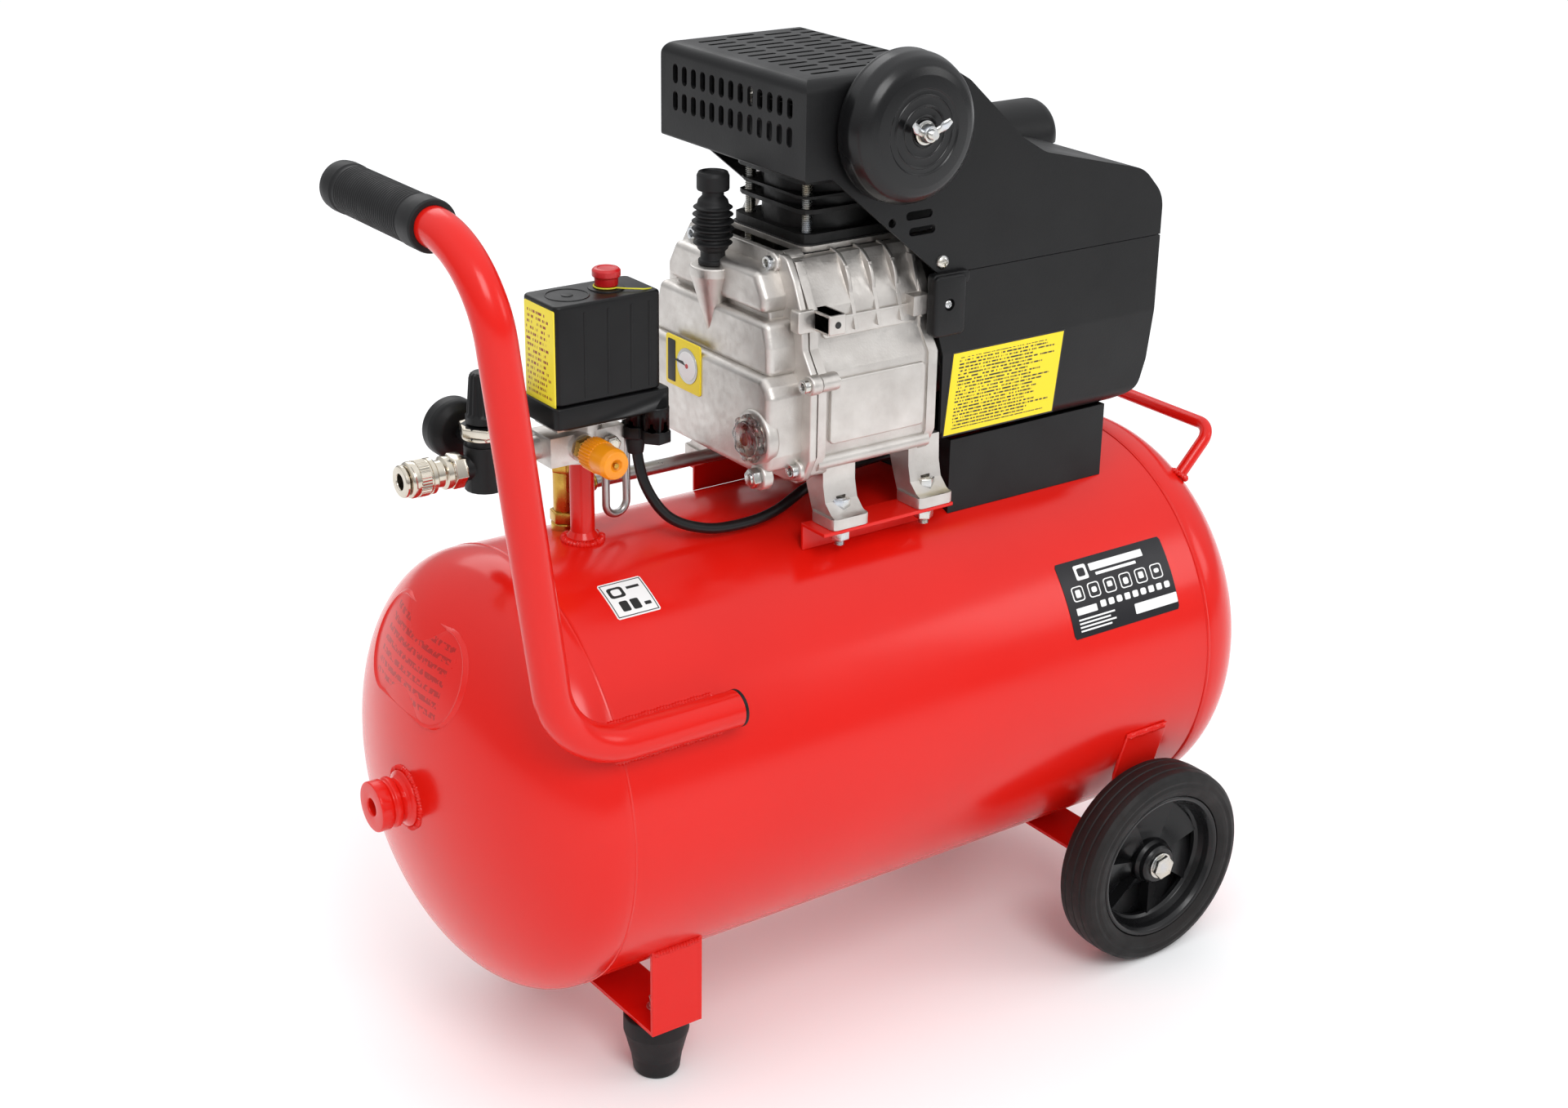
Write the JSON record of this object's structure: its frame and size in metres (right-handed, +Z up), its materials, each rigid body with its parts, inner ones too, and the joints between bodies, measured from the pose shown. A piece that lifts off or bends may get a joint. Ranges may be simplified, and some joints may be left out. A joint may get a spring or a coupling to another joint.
{
  "type": "portable piston air compressor",
  "caption": "Portable direct-drive piston air compressor: horizontal receiver on wheels and rubber feet, push handle, shrouded pump and motor, pressure switch, regulator and quick coupler.",
  "frame": {"origin": "on the ground, at the centre of the bounding box seen from above", "axes": "+Z up; +X from the handle and switch end towards the wheel end, along the receiver; -Y is the side with the push handle and air filter"},
  "size_m": [0.724, 0.378, 0.723],
  "materials": {
    "red_paint": "gloss red powder coat",
    "black_plastic": "moulded black plastic, fine grain",
    "black_gloss": "moulded black plastic, glossy",
    "rubber": "black rubber",
    "tyre_rubber": "solid black rubber tyre",
    "cast_aluminium": "shot-blasted die-cast aluminium",
    "zinc_steel": "zinc-plated steel",
    "bright_steel": "machined steel",
    "brass": "turned brass",
    "nickel": "nickel-plated brass",
    "clear_plastic": "clear moulded plastic",
    "red_plastic": "red moulded plastic",
    "amber_plastic": "amber moulded plastic",
    "black_iron": "black-painted cast iron"
  },
  "bodies": {
    "frame": {"receiver_shell": "red_paint", "end_boss": "red_paint", "rating_plate": "red_paint", "front_foot_strap": "red_paint", "front_foot_near": "rubber", "front_foot_far": "rubber", "wheel_strap": "red_paint", "axle_bolt_near": "zinc_steel", "axle_bolt_far": "zinc_steel", "push_handle": "red_paint", "handle_end_plug": "black_plastic", "handle_grip": "rubber", "lift_bar": "red_paint", "pump_rail_near": "red_paint", "pump_rail_far": "red_paint", "crankcase": "cast_aluminium", "crankcase_cover": "cast_aluminium", "oil_sight_glass": "clear_plastic", "oil_drain_plug": "zinc_steel", "cylinder": "black_iron", "cylinder_head": "black_iron", "head_stud_1": "zinc_steel", "head_stud_2": "zinc_steel", "head_stud_3": "zinc_steel", "head_stud_4": "zinc_steel", "motor_stator": "cast_aluminium", "upper_shroud": "black_plastic", "lower_shroud": "black_plastic", "motor_skirt": "black_plastic", "start_capacitor": "black_plastic", "air_filter_canister": "black_gloss", "switch_base": "black_plastic", "switch_cover": "black_plastic", "stand_pipe": "red_paint", "manifold": "cast_aluminium", "safety_valve": "brass", "check_valve": "brass", "delivery_tube": "bright_steel", "unloader_tube": "bright_steel", "regulator_body": "black_plastic", "pressure_gauge": "black_plastic", "quick_coupler": "nickel", "motor_lead": "rubber"},
    "wheel_near": {"wheel_rim_near": "black_gloss", "tyre_near": "tyre_rubber"},
    "wheel_far": {"wheel_rim_far": "black_gloss", "tyre_far": "tyre_rubber"},
    "crank_train": {"crankshaft": "bright_steel", "motor_rotor": "bright_steel", "cooling_fan": "black_plastic"},
    "piston_train": {"piston": "cast_aluminium", "connecting_rod": "cast_aluminium"},
    "switch_knob_body": {"switch_knob": "red_plastic"},
    "regulator_knob_body": {"regulator_knob": "black_plastic"},
    "safety_cap_body": {"safety_valve_cap": "amber_plastic"},
    "coupler_sleeve_body": {"coupler_sleeve": "nickel"},
    "wing_nut_body": {"filter_wing_nut": "zinc_steel"},
    "drain_cock_body": {"drain_cock": "brass"},
    "needle_body": {"gauge_needle": "red_plastic"},
    "breather_body": {"oil_breather": "black_plastic"}
  },
  "joints": [
    {"name": "wheel_near_spin", "type": "hinge", "parent": "frame", "child": "wheel_near", "pos_m": [0.218, -0.171, 0.081], "axis": [0, 1, 0], "continuous": true},
    {"name": "wheel_far_spin", "type": "hinge", "parent": "frame", "child": "wheel_far", "pos_m": [0.218, 0.171, 0.081], "axis": [0, 1, 0], "continuous": true},
    {"name": "crank_spin", "type": "hinge", "parent": "frame", "child": "crank_train", "pos_m": [0.013, 0, 0.502], "axis": [1, 0, 0], "continuous": true},
    {"name": "piston_stroke", "type": "slide", "parent": "frame", "child": "piston_train", "axis": [0, 0, 1], "range_m": [-0.04, 0]},
    {"name": "switch_knob_pull", "type": "slide", "parent": "frame", "child": "switch_knob_body", "axis": [0, 0, 1], "range_m": [0, 0.006]},
    {"name": "regulator_knob_turn", "type": "hinge", "parent": "frame", "child": "regulator_knob_body", "pos_m": [-0.263, 0.005, 0.5], "axis": [0, 0, 1], "range_deg": [-540, 540]},
    {"name": "safety_cap_pull", "type": "slide", "parent": "frame", "child": "safety_cap_body", "axis": [0, -1, 0], "range_m": [0, 0.003], "stiffness_N_per_m": 2000, "springref_m": -0.003},
    {"name": "coupler_sleeve_slide", "type": "slide", "parent": "frame", "child": "coupler_sleeve_body", "axis": [1, 0, 0], "range_m": [0, 0.005], "stiffness_N_per_m": 800, "springref_m": -0.004},
    {"name": "wing_nut_turn", "type": "hinge", "parent": "frame", "child": "wing_nut_body", "pos_m": [0.005, -0.12, 0.671], "axis": [0, 1, 0], "continuous": true},
    {"name": "drain_cock_turn", "type": "hinge", "parent": "frame", "child": "drain_cock_body", "pos_m": [-0.047, 0, 0.05], "axis": [0, 0, 1], "range_deg": [0, 720]},
    {"name": "gauge_needle_swing", "type": "hinge", "parent": "frame", "child": "needle_body", "pos_m": [-0.263, 0.0496, 0.468], "axis": [0, -1, 0], "range_deg": [0, 270], "stiffness_Nm_per_rad": 0.0005, "springref_deg": -11.46},
    {"name": "breather_pull", "type": "slide", "parent": "frame", "child": "breather_body", "axis": [0, 0, 1], "range_m": [0, 0.012]}
  ]
}
